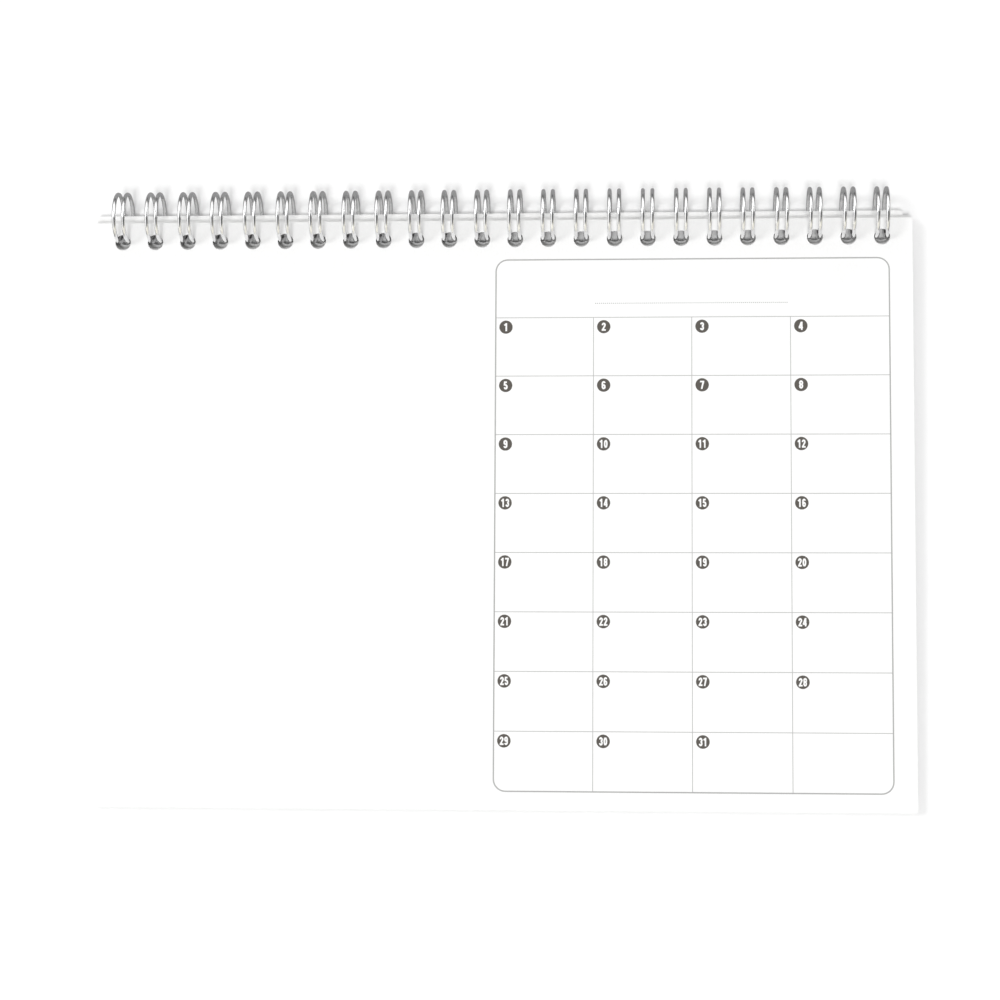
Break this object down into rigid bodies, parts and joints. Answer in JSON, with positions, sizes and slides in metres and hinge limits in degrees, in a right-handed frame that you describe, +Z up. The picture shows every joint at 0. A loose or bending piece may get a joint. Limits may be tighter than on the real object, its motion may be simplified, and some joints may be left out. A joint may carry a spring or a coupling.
{
  "type": "wall calendar",
  "caption": "Landscape wall calendar of white leaves on a back board, wire bound along its top edge, with a printed grid of numbered days.",
  "frame": {"origin": "on the surface it lies on, under the middle of the whole calendar, rings included", "axes": "+Z up out of the open page; +Y towards the rings along the top edge; +X along the binding, to the reader's right"},
  "size_m": [0.21, 0.1578, 0.0134],
  "materials": {
    "wire": "bright silver steel wire",
    "leaves": "smooth white uncoated paper with a grey printed grid",
    "board": "smooth light grey card"
  },
  "bodies": {
    "board": {"back_board": "board"},
    "binding": {"wire_binding": "wire"},
    "leaves": {"leaf_block": "leaves"}
  },
  "joints": [
    {"name": "leaves_turn", "type": "hinge", "parent": "board", "child": "leaves", "pos_m": [0, 0.07225, 0.00672], "axis": [-1, 0, 0], "range_deg": [0, 180]},
    {"name": "wire_turn", "type": "hinge", "parent": "board", "child": "binding", "pos_m": [0, 0.07225, 0.00672], "axis": [1, 0, 0], "range_deg": [0, 60]}
  ]
}
